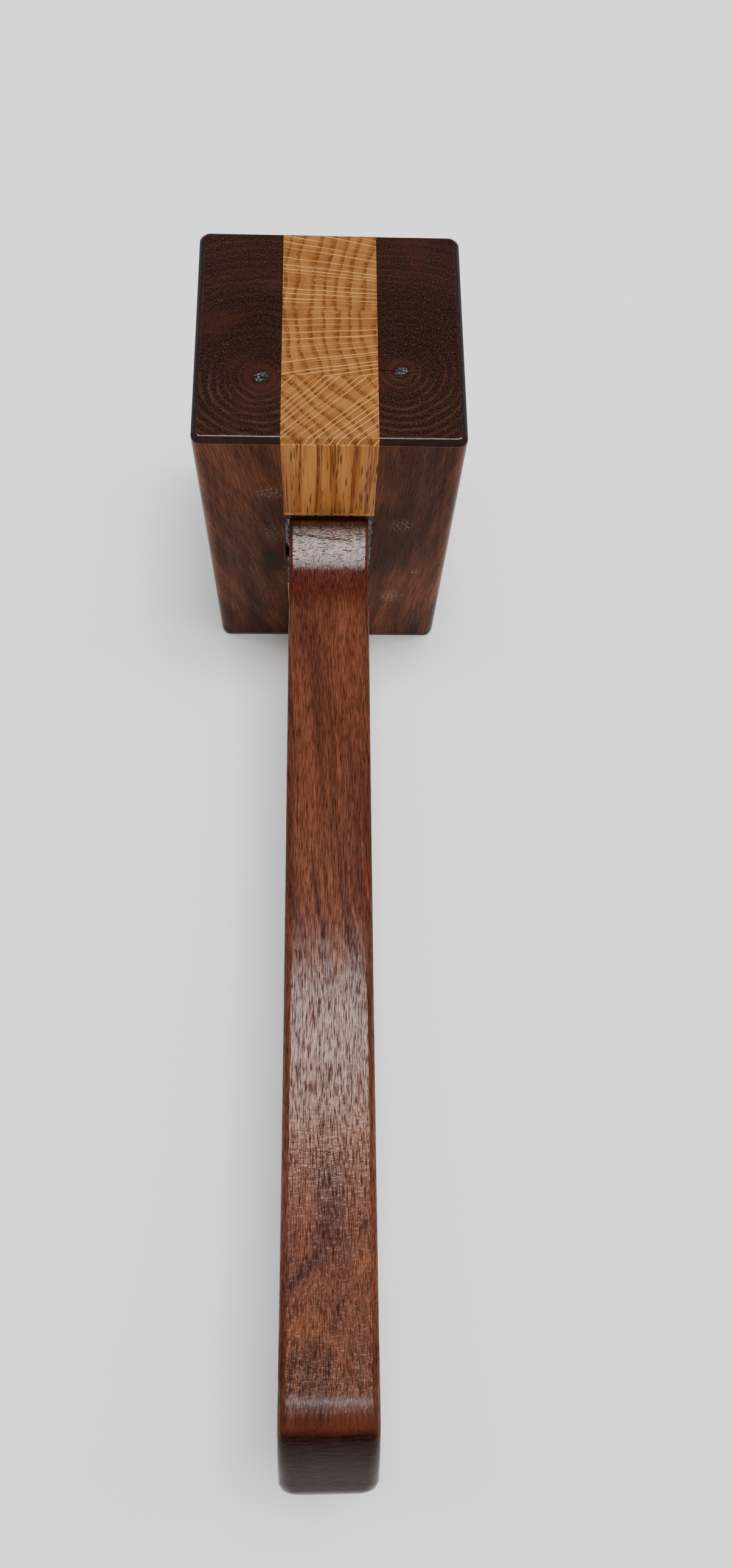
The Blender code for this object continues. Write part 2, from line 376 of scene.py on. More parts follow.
def walnut_cheek(name, pith, seed, lean, shaken, tones, wear):
    """Walnut with its fibres along Z round a pith, darker where the striking faces cut across them."""
    g = Graph(name)
    x = g.x + g.z * lean
    wander = g.noise(g.x / 12, g.y / 12, g.z / 80 + seed, detail=3) - 0.5
    radius = g.length(g.x - pith[0], g.y - pith[1]) + wander * 2.8
    ring = g.fade(g.sine(radius * (2 * math.pi / WALNUT_RING_SPACING) + wander * 2.5), -0.2, 1.0)
    uneven = g.noise(radius / 1.7 + seed, g.y / 60, g.z / 160, detail=3, roughness=0.6)
    fleck = g.noise(g.x * 2.6, g.y * 1.5, g.z * 4.2 + seed, detail=3, roughness=0.75)
    fibre = g.noise(x * 3.4, g.y * 2.4, g.z / 9 + seed, detail=3, roughness=0.7)
    dust, dust_kind = g.cells(g.x * 0.8, g.y * 0.8, g.z * 0.8 + seed)
    dust = g.fade(dust, 0.16, 0.08) * g.fade(dust_kind, 0.86, 0.97)
    patch = g.noise(g.x / 15, g.y / 15, g.z / 34 + seed * 2, detail=2)
    pore, pore_kind = g.cells(x * 1.9, g.y * 1.9, g.z / 5.0 + seed)
    pore = g.fade(pore, 0.36, 0.16) * g.fade(pore_kind, 0.30, 0.6)

    end = g.fade(abs(g.facing_z), 0.72, 0.95)
    rim = g.fade(abs(g.facing_z), 0.12, 0.45) * g.fade(abs(g.facing_z), 0.985, 0.90)
    sideways = g.fade(abs(g.facing_x), 0.25, 0.6)

    # The striking faces: rings, clearest on the front side of the pith.
    near = g.fade(g.y - pith[1], 9, -7)
    broken = g.fade(g.noise(g.x / 5, g.y / 5, seed, detail=2), 0.35, 0.65)
    figure = ring * (broken * 0.6 + 0.4) * (0.13 + near * 0.30) + uneven * 0.60
    tone = g.fade(radius, 26, 34) * 0.40 + near * 0.22 + 0.20
    end_colour = g.mix(g.fade(figure, 0.22, 0.95), END_DARK, END_PALE)
    end_colour = g.shade(end_colour, tone + 0.92)
    end_colour = g.mix(g.fade(fleck, 0.49, 0.66) * 0.85, end_colour, END_FLECK)
    end_colour = g.shade(end_colour, g.fade(fleck, 0.48, 0.34, 1.0, 0.55))
    end_colour = g.mix(g.fade(patch, 0.50, 0.72) * 0.35, end_colour, END_PATCH)
    halo = g.within(radius, 3.0, 4.6, 0.8)
    end_colour = g.mix(halo * 0.35, end_colour, END_HALO)
    if shaken:
        shake = g.fade(abs(g.y - pith[1] + (g.x - pith[0]) * 0.08 + wander * 1.5), 0.34, 0.10)
        shake = shake * g.fade(g.x, pith[0] - 1.0, pith[0] - 2.5) * 0.85
        end_colour = g.mix(shake, end_colour, END_SHAKE)
    end_colour = g.mix(dust * 0.5, end_colour, DUST)

    # The front, the back and the outer side: long grain.
    side_colour = g.mix(g.fade(uneven, 0.3, 0.7), SIDE_DARK, SIDE_PALE)
    side_colour = g.mix(g.fade(patch, 0.42, 0.66) * 0.7, side_colour, SIDE_PATCH)
    side_colour = g.shade(side_colour, g.fade(fibre, 0.3, 0.7, 0.54, 1.44))
    side_colour = g.shade(side_colour, g.fade(g.z, 25, 110, *tones))
    diagonal = g.noise((g.x + g.z * lean * 2.5) / 5 + seed, g.y / 9, g.z / 40, detail=2)
    side_colour = g.shade(side_colour, g.fade(diagonal, 0.36, 0.64, 0.84, 1.36))
    side_colour = g.mix(pore * 0.75, side_colour, SIDE_PORE)
    front = g.fade(-g.facing_y, 0.6, 0.85)
    speckle = g.fade(g.noise(g.x * 1.1 + g.z * 0.5, seed, g.z * 2.4, detail=3, roughness=0.8), 0.54, 0.64)
    for px, pz, half_x, half_z, strength, wear_colour in wear:
        worn = g.fade(g.length((g.x - px) / half_x, (g.z - pz) / half_z), 1.0, 0.35) * front * strength
        if wear_colour == SCUFF:
            worn = worn * speckle
        side_colour = g.mix(worn, side_colour, wear_colour)

    # The rim between them is painted with reflections, near black where it faces front or back and blue-grey
    # where it faces the sides, with a bright line where it leaves the striking face.
    colour = g.mix(end, side_colour, end_colour)
    painted_rim_reflection = g.mix(sideways, PAINTED_REFLECTION_FRONT, PAINTED_REFLECTION_SIDE)
    colour = g.mix(rim * 0.92, colour, painted_rim_reflection)
    height = fleck * 0.02 * end - pore * (1 - end) * 0.05
    roughness = 0.27 + (fleck - 0.5) * 0.10 - rim * 0.13
    crease = g.fade(abs(g.facing_z), 0.998, 0.985) * g.fade(abs(g.facing_z), 0.12, 0.45)
    specular = 0.035 + end * 0.035 + crease * (1 - sideways) * 0.75
    return g.finish(colour, roughness, height, specular=specular)


def oak(name, pith, spacing, seed):
    """Oak with its fibres along Z: rings of large pores round the pith, crossed by pale rays."""
    g = Graph(name)
    bend = g.noise(g.x / 15 + seed, g.y / 15, g.z / 90, detail=1) - 0.5
    across = g.x - pith[0]
    deep = g.y - pith[1]
    radius = g.length(across, deep) + bend * 4.2
    mean = math.hypot(pith[0], pith[1] + 10)
    angle = g.math("ARCTAN2", deep, across)
    around = angle * mean + bend * 1.0

    # Rings of large pores, in a year's early wood.
    uneven = g.noise(radius / 6 + seed, around / 30, g.z / 90, detail=1) - 0.5
    year = g.math("FRACT", radius / spacing + uneven * 1.1 + seed)
    early = g.fade(year, 0.0, 0.08) * g.fade(year, 0.58, 0.18)
    chain = g.noise(radius * 1.1, around * 1.15 + seed, g.z / 30, detail=2, roughness=0.7)
    pore, pore_kind = g.cells(radius * 1.5, around * 1.5, g.z / 7.5 + seed)
    pore = g.fade(pore, 0.46, 0.20)
    small, small_kind = g.cells(radius * 3.0, around * 3.0, g.z / 4.5 + seed)
    small = g.fade(small, 0.42, 0.2) * g.fade(small_kind, 0.3, 0.7)

    # Rays, which point at the pith.
    slow = g.noise(around / 2.2, radius / 20, g.z / 12 + seed, detail=2)
    ray, ray_kind = g.marks(around / 1.75 + seed)
    ray = g.fade(ray, 0.12, 0.03) * g.fade(ray_kind * 0.55 + slow, 0.50, 0.95)
    thin, thin_kind = g.marks(around / 0.62 + seed * 3)
    thin = g.fade(thin, 0.34, 0.08) * g.fade(thin_kind * 0.5 + slow, 0.50, 0.95)

    tone = g.noise(g.x / 7, g.y / 9, g.z / 60 + seed, detail=3)
    fibre = g.noise(radius * 2.6, around * 2.6, g.z / 24 + seed, detail=3, roughness=0.65)
    streak = g.noise(g.x * 1.15 + seed, g.y * 1.15, g.z / 40, detail=2, roughness=0.7)
    end = g.fade(abs(g.facing_z), 0.35, 0.75)
    colour = g.mix(g.fade(tone, 0.3, 0.7), OAK_DARK, OAK_PALE)
    colour = g.mix(early * g.fade(chain, 0.30, 0.55) * 0.95, colour, OAK_RING)
    colour = g.mix(pore * early * end * 0.45, colour, OAK_PORE)
    colour = g.mix(small * 0.25, colour, OAK_SMALL_PORE)
    colour = g.shade(colour, g.fade(fibre, 0.3, 0.7, 0.84, 1.16))
    colour = g.mix(thin * end * 0.30, colour, OAK_THIN_RAY)
    colour = g.mix(ray * end * 0.80, colour, OAK_RAY)

    # Long grain is brighter than end grain, with dark and golden streaks.
    colour = g.shade(colour, g.fade(abs(g.facing_z), 0.35, 0.75, 3.7, 1.0))
    dark_streak = g.fade(streak, 0.56, 0.70) * g.fade(chain, 0.30, 0.50)
    colour = g.mix(dark_streak * (1 - end) * 0.85, colour, OAK_STREAK)
    gold = g.fade(streak, 0.44, 0.30)
    colour = g.mix(gold * (1 - end) * 0.55, colour, OAK_GOLD)
    long_pore = pore * g.fade(pore_kind, 0.45, 0.75) * (1 - end)
    colour = g.mix(long_pore * 0.85, colour, OAK_LONG_PORE)

    # A pale edge and old glue just above the mortise.
    above = g.z - MORTISE_HIGH
    ragged = g.noise(g.x / 1.6, 3.0, g.z / 2, detail=3) - 0.5
    front = g.fade(-g.facing_y, 0.5, 0.8)
    glue = g.fade(above + ragged * 1.2, 2.35, 1.95) * g.fade(above, -0.2, 0.0) * front
    sill = g.within(above + ragged * 1.2, 2.3, 3.6, 0.25) * front
    colour = g.mix(sill * g.fade(ragged, 0.12, -0.05) * 0.75, colour, OAK_SILL)
    colour = g.mix(glue * 0.95, colour, OAK_GLUE)
    height = pore * early * -0.06 + ray * 0.01 + fibre * 0.01 - dark_streak * (1 - end) * 0.04
    roughness = 0.28 + pore * early * 0.2
    return g.finish(colour, roughness, height, specular=0.12)


def walnut_handle(name):
    """Red-brown walnut with its fibres along Y, glossy from its finish."""
    g = Graph(name)
    reach = FRONT - g.y
    drift = g.curve(reach, STREAK_PATH)
    bend = g.noise(g.x / 11, g.y / 45, g.z / 11, detail=2) - 0.5
    across = g.x - drift + (g.z - MIDDLE) * 0.35 + bend * 2.4
    broad = g.noise(across / 4.4 + 7, g.y / 60, g.z / 50, detail=2)
    band = g.noise(across / 0.9 + 3, g.y / 50, g.z / 30, detail=3, roughness=0.65)
    fleck = g.noise(g.x * 3.2, g.y / 4.5, g.z * 3.2, detail=3, roughness=0.7)
    fine = g.noise(g.x * 6, g.y / 1.6, g.z * 6, detail=2)
    patch = g.noise(g.x / 9, g.y / 14 + 5, g.z / 12, detail=3)
    pore, pore_kind = g.cells(g.x * 1.7 + 4, g.y / 4.2, g.z * 1.7)
    pore = g.fade(pore, 0.34, 0.14) * g.fade(pore_kind, 0.25, 0.6)

    # Regions along the handle.
    root = g.fade(reach, 17, 10) * g.fade(reach, -0.5, 0.2)
    grip = g.fade(reach, 125, 200)
    meander = g.within(reach, 112, 150, 9)
    mottle = g.within(reach, 190, 245, 16)
    streak = g.fade(abs(across + 0.3), 1.1 + mottle * 2.2, 0.2) * (0.08 + meander * 0.62 + mottle * 0.28)
    streak = streak * g.fade(g.noise(g.x / 3, g.y / 26, g.z / 8), 0.30, 0.55)
    colour = g.mix(g.fade(broad, 0.32, 0.68), HANDLE_DARK, HANDLE_PALE)
    colour = g.mix(g.fade(band, 0.50, 0.74) * 0.6, colour, BAND_PALE)
    colour = g.mix(g.fade(band, 0.48, 0.26) * 0.65, colour, BAND_DARK)
    colour = g.mix(streak, colour, HANDLE_STREAK)
    red = g.within(reach, 11, 27, 5)
    colour = g.mix(red * 0.8, colour, HANDLE_RED)
    colour = g.shade(colour, g.fade(reach, 222, 240, 1.0, 0.72))
    colour = g.mix(mottle * g.fade(patch, 0.52, 0.68) * 0.5, colour, MOTTLE_PALE)
    colour = g.mix(mottle * g.fade(patch, 0.48, 0.34) * 0.5, colour, MOTTLE_DARK)
    colour = g.shade(colour, g.fade(fleck, 0.3, 0.7, 0.50, 1.52))
    colour = g.mix(pore * 0.7, colour, HANDLE_PORE)
    tip = g.fade(reach, 249, 256)
    colour = g.mix(tip * 0.55, colour, HANDLE_CORNER)

    # A dark line where the handle meets the head, and a short crack beside it.
    mouth = g.fade(reach, 1.1, 0.5)
    crack_line = reach - 5.9 - g.x * 0.112 - (g.noise(g.x / 2.2, 2.0, 4.0, detail=2) - 0.5) * 1.3
    crack = g.fade(abs(crack_line), 0.34, 0.10) * g.fade(g.x, 8.5, 4.0) * g.fade(g.facing_z, 0.6, 0.8)
    dark_line = g.math("MAXIMUM", mouth * 0.85, crack * 0.75)
    colour = g.mix(dark_line, colour, HANDLE_CRACK)

    # The two ends cut across the fibres: the tenon's and the butt.
    tenon_end = g.fade(g.facing_y, 0.5, 0.8)
    tenon_colour = g.mix(g.fade(fine, 0.3, 0.7), TENON_DARK, TENON_PALE)
    colour = g.mix(tenon_end, colour, tenon_colour)
    butt = g.fade(-g.facing_y, 0.20, 0.55)
    grey = g.noise(g.x / 4, g.y * 1.2, g.z * 2.2, detail=3, roughness=0.7)
    butt_colour = g.mix(g.fade(grey, 0.35, 0.65), BUTT_DARK, BUTT_PALE)
    colour = g.mix(butt, colour, butt_colour)
    # The finish: uneven at the root, rippled and glossy on the grip, thin elsewhere.
    peel = g.noise(g.x * 1.7, g.y * 1.7, g.z * 1.7, detail=3, roughness=0.7)
    dent = g.noise(g.x / 3.1, g.y / 1.6, g.z / 3, detail=2)
    ripple = g.noise(g.x / 2.2, g.y * 0.95, g.z / 2.2, detail=2, roughness=0.6)
    lip = g.within(reach, 247.5, 255, 1.5)
    height = peel * (0.004 + root * 0.030) + dent * root * 0.20 + ripple * grip * (1 - lip) * 0.024
    height = height - pore * 0.02 * (1 - root) - crack * 0.08
    roughness = 0.125 + pore * 0.3 + butt * 0.1
    dashes = g.fade(fleck, 0.36, 0.62, 0.10, 2.1) * g.fade(fine, 0.3, 0.7, 0.7, 1.3)
    gloss = 0.150 * g.fade(reach, 120, 160) * g.fade(reach, 195, 215, 1.0, 0.65) + 0.05 + root * 0.64
    upward = g.fade(abs(g.facing_x), 0.5, 0.9, 1.0, 0.0)
    gloss = gloss * (upward * 0.7 + 0.3) * (1 - tenon_end * 0.9)
    specular = gloss * (1 - butt) * g.fade(root, 0.0, 0.5, dashes, 1.0) + lip * 0.22 * (1 - butt) * upward
    specular = specular + butt * g.fade(reach, 258, 268, 0.07, 0.36)
    tint = g.mix(grip * (1 - butt) * (1 - lip), PLAIN_GLOSS, GRIP_GLOSS)
    return g.finish(colour, roughness, height, specular=specular, tint=tint)


def epoxy(name, dark, pale, flecks, seed):
    """Cast epoxy, clouded with paler grains."""
    g = Graph(name)
    cloud = g.noise(g.x / 1.3, g.y / 1.3, g.z / 1.9 + seed, detail=3, roughness=0.6)
    grain, grain_kind = g.cells(g.x * 1.6, g.y * 1.6, g.z * 1.6 + seed)
    grain = g.fade(grain, 0.22, 0.40, 1.0, 0.0) * g.fade(grain_kind, 1 - flecks, 1.05 - flecks)
    colour = g.mix(g.fade(cloud, 0.38, 0.68), dark, pale)
    colour = g.mix(grain * 0.8, colour, EPOXY_GRAIN)
    return g.finish(colour, 0.28 + cloud * 0.2, cloud * 0.12)


def floor_cloth(name):
    """Plain pale matt floor."""
    g = Graph(name)
    return g.finish(CLOTH, 0.9, g.noise(g.x, g.y, 0.0) * 0.01, specular=0.2)


# ---------------------------------------------------------------- meshes


def add_object(name, shape, finish):
    """Links a bmesh measured in millimetres as a smooth-shaded object."""
    bmesh.ops.recalc_face_normals(shape, faces=shape.faces)
    for vert in shape.verts:
        vert.co *= MM
    mesh = bpy.data.meshes.new(name)
    shape.to_mesh(mesh)
    shape.free()
    mesh.materials.append(finish)
    mesh.shade_smooth()
    mesh.set_sharp_from_angle(angle=SHARP_ANGLE)
    made = bpy.data.objects.new(name, mesh)
    bpy.context.scene.collection.objects.link(made)
    return made


def as_piece(made, node):
    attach(made, "root")
    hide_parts(node)


def loft(rings):
    """A closed bmesh through rings of equally many points, with flat ends."""
    shape = bmesh.new()
    made = [[shape.verts.new(point) for point in ring] for ring in rings]
    count = len(made[0])
    for first, second in zip(made, made[1:]):
        for i in range(count):
            j = (i + 1) % count
            shape.faces.new((first[i], first[j], second[j], second[i]))
    shape.faces.new(made[0])
    shape.faces.new(made[-1])
    return shape


def carve(target, tools):
    """Cuts the tools out of the target for good, and removes them."""
    for tool in tools:
        step = target.modifiers.new(tool.name, "BOOLEAN")
        step.operation = "DIFFERENCE"
        step.solver = "EXACT"
        step.object = tool
    graph = bpy.context.evaluated_depsgraph_get()
    carved = bpy.data.meshes.new_from_object(target.evaluated_get(graph))
    target.modifiers.clear()
    target.data = carved
    carved.set_sharp_from_angle(angle=SHARP_ANGLE)
    for tool in tools:
        bpy.data.objects.remove(tool)


def steps(start, end, count):
    return [start + (end - start) * i / count for i in range(count + 1)]


def cheek_outline(side):
    """The cheek seen from above: points with the direction in which a chamfer moves each of them."""
    centre = HEAD_HALF_WIDTH - CORNER_RADIUS
    points = [(side * x, FRONT, 0, 1) for x in steps(CORE_SIDE, centre - SUPPORT, 12)]
    for y, first in ((FRONT + CORNER_RADIUS, -90), (BACK - CORNER_RADIUS, 0)):
        for angle in steps(first, first + 90, CORNER_STEPS):
            c, s = math.cos(math.radians(angle)), math.sin(math.radians(angle))
            points.append(
                (side * (centre + CORNER_RADIUS * c), y + CORNER_RADIUS * s, -side * c, -s)
            )
        if y < 0:
            span = (FRONT + CORNER_RADIUS + SUPPORT, BACK - CORNER_RADIUS - SUPPORT)
            points += [(side * HEAD_HALF_WIDTH, v, -side, 0) for v in steps(*span, 24)]
    points += [(side * x, BACK, 0, -1) for x in steps(centre - SUPPORT, CORE_SIDE, 12)]
    return points


def board_outline(front, back):
    """A core board seen from above. Only the head's own front and back edges are chamfered."""
    lead = 1 if front == FRONT else 0
    trail = -1 if back == BACK else 0
    points = [(x, front, 0, lead) for x in steps(-CORE_SIDE, CORE_SIDE, 12)]
    points += [(x, back, 0, trail) for x in steps(CORE_SIDE, -CORE_SIDE, 12)]
    return points


def rim_profile():
    """(inset, depth) down a chamfered edge of a striking face, from the face to the side."""
    face_run = RIM_FACE_RADIUS * math.tan(math.pi / 8)
    side_run = RIM_SIDE_RADIUS * math.tan(math.pi / 8)
    points = [(CHAMFER + face_run + SUPPORT, 0.0)]
    for angle in steps(0, math.pi / 4, 4):
        inset = CHAMFER + face_run - RIM_FACE_RADIUS * math.sin(angle)
        points.append((inset, RIM_FACE_RADIUS * (1 - math.cos(angle))))
    for angle in steps(math.pi / 4, 0, 4):
        depth = CHAMFER + side_run - RIM_SIDE_RADIUS * math.sin(angle)
        points.append((RIM_SIDE_RADIUS * (1 - math.cos(angle)), depth))
    points.append((0.0, CHAMFER + side_run + SUPPORT))
    return points


def head_rings(outline, low, high):
    """Rings up a piece of the head between two heights, chamfered where it meets a striking face."""

    def ring(level, up, inset, depth):
        points = []
        for x, y, in_x, in_y in outline:
            wave = 1 + RIM_WAVE * noise.noise(Vector((x / 15, y / 15, level / 50)))
            points.append((x + in_x * inset * wave, y + in_y * inset * wave, level + up * depth * wave))
        return points

    rings = []
    if low == 0.0:
        rings += [ring(0.0, 1, inset, depth) for inset, depth in rim_profile()]
    else:
        rings.append(ring(low, 1, 0.0, 0.0))
    if high == HEAD_HEIGHT:
        rings += [ring(high, -1, inset, depth) for inset, depth in reversed(rim_profile())]
    else:
        rings.append(ring(high, 1, 0.0, 0.0))
    return rings


def plug_outline(pith, level, grow):
    """The lopsided outline of a pith hole, at a height."""
    points = []
    for angle in steps(0, 2 * math.pi, 48)[:-1]:
        lopsided = 1 + 0.13 * math.sin(2 * angle + 0.7) + 0.06 * math.sin(3 * angle)
        lopsided += 0.10 * noise.noise(Vector((math.cos(angle) * 2.4, math.sin(angle) * 2.4, pith[0])))
        radius = PLUG_RADIUS * lopsided * grow
        points.append((pith[0] + radius * math.cos(angle), pith[1] + radius * math.sin(angle), level))
    return points


def make_cheek(name, side, pith, finish):
    cheek = add_object(f"{name}_board", loft(head_rings(cheek_outline(side), 0.0, HEAD_HEIGHT)), finish)
    drills = []
    for level, inward in ((0.0, 1), (HEAD_HEIGHT, -1)):
        mouth = plug_outline(pith, level - inward, 1.0)
        bottom = plug_outline(pith, level + inward * PLUG_DEPTH, PLUG_TAPER)
        rings = [mouth, bottom]
        drills.append(add_object(f"{name}_drill", loft(rings), finish))
    carve(cheek, drills)
    as_piece(cheek, name)


def make_plug(name, pith, level, inward, finish, node):
    """Epoxy in a pith hole, a little hollow and lumpy where it shows."""
    edge = plug_outline(pith, level, 1.0)
    rings = [plug_outline(pith, level + inward * PLUG_DEPTH, PLUG_TAPER)]
    rings.append([(x, y, level + inward * 0.05) for x, y, _ in edge])
    for share in (0.94, 0.85, 0.72, 0.58, 0.44, 0.30, 0.16, 0.05):
        ring = []
        for x, y, _ in edge:
            px = pith[0] + (x - pith[0]) * share
            py = pith[1] + (y - pith[1]) * share
            lump = 0.28 * noise.noise(Vector((px * 1.3, py * 1.3, level)))
            lump += 0.12 * noise.noise(Vector((px * 3.1, py * 3.1, level)))
            ring.append((px, py, level + inward * max(0.0, 0.22 * (1 - share**4) + 0.05 + lump)))
        rings.append(ring)
    as_piece(add_object(name, loft(rings), finish), node)


def side_height(reach):
    """Half the handle's height at a distance in front of the head, up to the butt's corners."""
    half = WAIST_HEIGHT / 2
    if reach < ROOT_SWEEP:
        half += (TENON_HEIGHT - WAIST_HEIGHT) / 2 * (1 - reach / ROOT_SWEEP) ** ROOT_POWER
    if reach > FLARE_START:
        along = (reach - FLARE_START) / (FLARE_END - FLARE_START)
        gentle = FLARE_GENTLE_SHARE * along**FLARE_GENTLE_POWER
        steep = (1 - FLARE_GENTLE_SHARE) * along**FLARE_STEEP_POWER
        half += (BUTT_HEIGHT - WAIST_HEIGHT) / 2 * (gentle + steep)
    return half


def butt_profile():
    """(reach, half height) along the butt: a rounded corner, a slanted face and a smaller rounded nose."""
    start = -math.atan2(side_height(FLARE_END) - side_height(FLARE_END - 1), 1)
    slant_top = BUTT_HEIGHT / 2 - BUTT_CORNER_RADIUS * (math.cos(start) - math.cos(BUTT_SLOPE))
    nose_run = BUTT_NOSE_RADIUS * (1 - math.sin(BUTT_SLOPE))
    corner_run = BUTT_CORNER_RADIUS * (math.sin(BUTT_SLOPE) - math.sin(start))
    slant_run = HANDLE_REACH - FLARE_END - corner_run - nose_run
    points = []
    for angle in steps(start, BUTT_SLOPE, BUTT_STEPS):
        reach = FLARE_END + BUTT_CORNER_RADIUS * (math.sin(angle) - math.sin(start))
        half = BUTT_HEIGHT / 2 - BUTT_CORNER_RADIUS * (math.cos(start) - math.cos(angle))
        points.append((reach, half))
    nose_top = slant_top - slant_run * math.tan(BUTT_SLOPE)
    for share in (0.12, 0.5, 0.88):
        points.append((points[BUTT_STEPS][0] + slant_run * share, slant_top + (nose_top - slant_top) * share))
    for angle in steps(BUTT_SLOPE, math.pi / 2, BUTT_STEPS):
        reach = HANDLE_REACH - BUTT_NOSE_RADIUS * (1 - math.sin(angle))
        half = nose_top - BUTT_NOSE_RADIUS * (math.cos(BUTT_SLOPE) - math.cos(angle))
        points.append((reach, half))
    return points


def edge_radius(reach):
    """Radius of the handle's long edges: nearly square in the head, softer towards the grip."""
    if reach <= 0:
        return EDGE_RADIUS_TENON
    return EDGE_RADIUS_ROOT + (EDGE_RADIUS_GRIP - EDGE_RADIUS_ROOT) * min(1.0, reach / FLARE_START)


def handle_section(reach, half_height):
    """The handle's cross-section, a rectangle with rounded corners."""
    half_width = HANDLE_HALF_WIDTH
    into = min(reach - (HANDLE_REACH - BUTT_PLAN_RADIUS), BUTT_PLAN_RADIUS)
    if into > 0:
        half_width -= BUTT_PLAN_RADIUS - math.sqrt(BUTT_PLAN_RADIUS**2 - into**2)
    radius = min(edge_radius(reach), 0.6 * half_height)
    flat = [half_width - radius - SUPPORT, half_height - radius - SUPPORT]
    ring = []
    for corner, (across, up) in enumerate(((1, 1), (-1, 1), (-1, -1), (1, -1))):
        for angle in steps(math.pi / 2 * corner, math.pi / 2 * (corner + 1), EDGE_STEPS):
            x = across * (half_width - radius) + radius * math.cos(angle)
            z = up * (half_height - radius) + radius * math.sin(angle)
            ring.append((x, z))
        if corner % 2 == 0:
            ring += [(across * share * flat[0], up * half_height) for share in (1, 0.5, 0, -0.5, -1)]
        else:
            ring += [(across * half_width, up * share * flat[1]) for share in (1, 0, -1)]
    return [(x, FRONT - reach, MIDDLE + z) for x, z in ring]


def make_handle(finish, wedge_finish):
    """The handle with its tenon, and the two wedges in their kerfs."""
    profile = [(reach, TENON_HEIGHT / 2) for reach in (FRONT - BACK, 1 - BACK + FRONT, FRONT, -1.0, -0.02)]
    profile += [(reach, side_height(reach)) for reach in steps(0.0, ROOT_SWEEP, 28)[:-1]]
    profile += [(reach, side_height(reach)) for reach in steps(ROOT_SWEEP, FLARE_START, 36)[:-1]]
    profile += [(reach, side_height(reach)) for reach in steps(FLARE_START, FLARE_END, 70)[:-1]]
    profile += butt_profile()
    handle = add_object("handle_board", loft([handle_section(*point) for point in profile]), finish)
    kerfs = []
    for end, sign in (("upper", 1), ("lower", -1)):
        centre = MIDDLE + sign * WEDGE_SPACING / 2
        for role, grow in (("kerf", 1), ("wedge", 0)):
            side, back = HANDLE_HALF_WIDTH + grow, BACK + grow
            tip = BACK - WEDGE_LENGTH
            corners = (
                (back, WEDGE_THICK_END / 2),
                (tip, WEDGE_THIN_END / 2),
                (tip, -WEDGE_THIN_END / 2),
                (back, -WEDGE_THICK_END / 2),
            )
            shape = loft([[(x, y, centre + z) for y, z in corners] for x in steps(-side, side, 8)])
            made = add_object(f"{role}_{end}", shape, wedge_finish)
            if role == "kerf":
                kerfs.append(made)
            else:
                as_piece(made, f"tenon_wedge_{end}")
    carve(handle, kerfs)
    as_piece(handle, "handle")


def make_board(name, front, back, low, high, finish, node):
    rings = head_rings(board_outline(front, back), low, high)
    as_piece(add_object(name, loft(rings), finish), node)


def make_mortise_fill(name, side, finish, node):
    """Epoxy beside the tenon, lumpy where it shows at the head's front, with a small void in the left one."""
    across, up = 8, 150
    shape = bmesh.new()
    grid = []
    for i, x in enumerate(steps(side * HANDLE_HALF_WIDTH, side * CORE_SIDE, across)):
        column = []
        for z in steps(MORTISE_LOW, MORTISE_HIGH, up):
            lump = 0.35 * noise.noise(Vector((x / 1.4, z / 2.2, side * 3)))
            lump += 0.15 * noise.noise(Vector((x / 0.5, z / 0.6, 9)))
            depth = max(0.0, 0.25 + lump)
            if side < 0:
                aside = (x - VOID_PLACE[0]) / VOID_HALF_WIDTH
                above = (z - VOID_PLACE[1]) / VOID_HALF_HEIGHT
                depth += VOID_DEPTH / (1 + (aside**2 + above**2) ** 3)
            column.append(shape.verts.new((x, FRONT + depth, z)))
        grid.append(column)
    for i in range(across):
        for j in range(up):
            shape.faces.new((grid[i][j], grid[i + 1][j], grid[i + 1][j + 1], grid[i][j + 1]))
    border = [c[0] for c in grid] + grid[-1][1:] + [c[-1] for c in reversed(grid[:-1])] + grid[0][-2:0:-1]
    back = [shape.verts.new((v.co.x, BACK, v.co.z)) for v in border]
    for i in range(len(border)):
        j = (i + 1) % len(border)
        shape.faces.new((border[i], border[j], back[j], back[i]))
    shape.faces.new(back)
    as_piece(add_object(name, shape, finish), node)


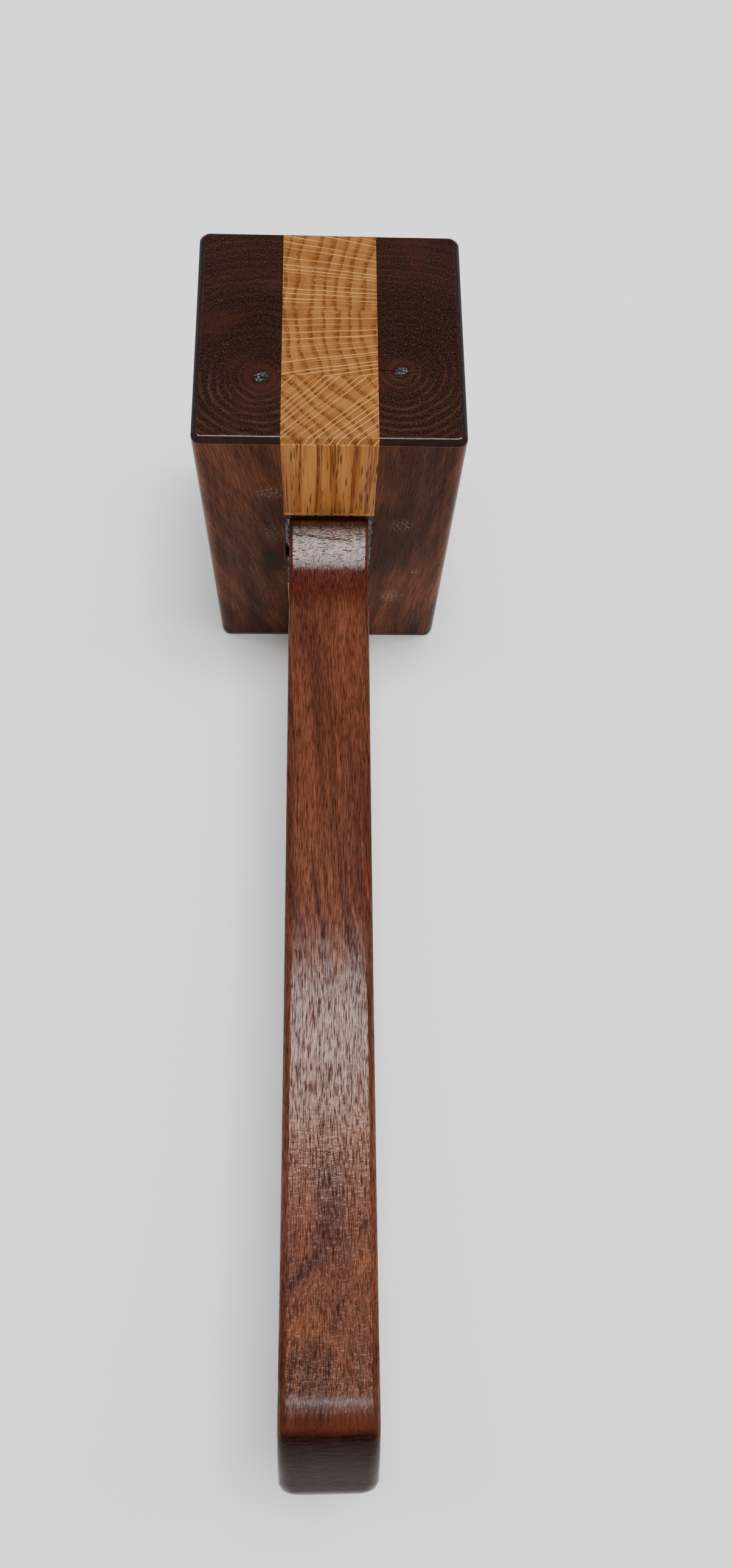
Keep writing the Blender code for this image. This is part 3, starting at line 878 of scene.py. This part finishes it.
def make_mallet():
    for name, cheek in CHEEKS.items():
        side, pith, seed = cheek["side"], cheek["pith"], cheek["seed"]
        walnut = walnut_cheek(
            f"walnut_{name}_cheek", pith, seed, cheek["lean"], cheek["shaken"], cheek["tones"], cheek["wear"]
        )
        make_cheek(f"{name}_cheek", side, pith, walnut)
        silver = epoxy(f"epoxy_{name}_pith", *PITH_EPOXY, 0.30, seed)
        for end, level, inward in (("lower", 0.0, 1), ("upper", HEAD_HEIGHT, -1)):
            make_plug(f"{name}_pith_{end}", pith, level, inward, silver, f"pith_fill_{name}_{end}")
        dark = epoxy(f"epoxy_{name}_mortise", *MORTISE_EPOXY, 0.12, seed)
        make_mortise_fill(f"{name}_mortise_epoxy", side, dark, f"mortise_fill_{name}")
    front_oak = oak("oak_front_board", *FRONT_OAK)
    rear_oak = oak("oak_rear_board", *REAR_OAK)
    make_board("core_upper_front", FRONT, SEAM, MORTISE_HIGH, HEAD_HEIGHT, front_oak, "upper_core_front")
    make_board("core_lower_front", FRONT, SEAM, 0.0, MORTISE_LOW, front_oak, "lower_core_front")
    make_board("core_upper_rear", SEAM, BACK, MORTISE_HIGH, HEAD_HEIGHT, rear_oak, "upper_core_rear")
    make_board("core_lower_rear", SEAM, BACK, 0.0, MORTISE_LOW, rear_oak, "lower_core_rear")
    make_handle(walnut_handle("walnut_handle"), oak("oak_wedge", *WEDGE_OAK))


# ---------------------------------------------------------------- studio


def add_light(name, place, target, size_x, size_y, power):
    """A rectangular soft light aimed at a point. Sizes and places are metres."""
    lamp = bpy.data.lights.new(name, "AREA")
    lamp.shape = "RECTANGLE"
    lamp.size, lamp.size_y = size_x, size_y
    lamp.energy = power
    made = bpy.data.objects.new(name, lamp)
    made.location = place
    made.rotation_euler = (Vector(target) - Vector(place)).to_track_quat("-Z", "Y").to_euler()
    bpy.context.scene.collection.objects.link(made)
    return made


def make_studio():
    shape = bmesh.new()
    bmesh.ops.create_grid(shape, x_segments=8, y_segments=8, size=FLOOR_HALF_SIZE)
    floor = add_object("floor", shape, floor_cloth("pale_cloth"))

    add_light("strip", *STRIP)
    softbox = add_light("softbox", *SOFTBOX)
    softbox.visible_glossy = False
    world = bpy.data.worlds.new("studio")
    world.use_nodes = True
    world.node_tree.nodes["Background"].inputs["Color"].default_value = (1.0, 1.0, 1.0, 1.0)
    world.node_tree.nodes["Background"].inputs["Strength"].default_value = WORLD_STRENGTH
    bpy.context.scene.world = world

    lens = bpy.data.cameras.new("camera")
    lens.lens = CAMERA_LENS
    lens.sensor_width = CAMERA_SENSOR
    camera = bpy.data.objects.new("camera", lens)
    camera.location = CAMERA_PLACE
    yaw, tilt, roll = (math.radians(v) for v in (CAMERA_YAW, CAMERA_TILT, CAMERA_ROLL))
    turn = Euler((0, 0, yaw)).to_matrix() @ Euler((tilt, 0, 0)).to_matrix() @ Euler((0, 0, roll)).to_matrix()
    camera.rotation_euler = turn.to_euler()
    lens.clip_start = 0.01
    bpy.context.scene.collection.objects.link(camera)
    bpy.context.scene.camera = camera


make_mallet()
make_studio()
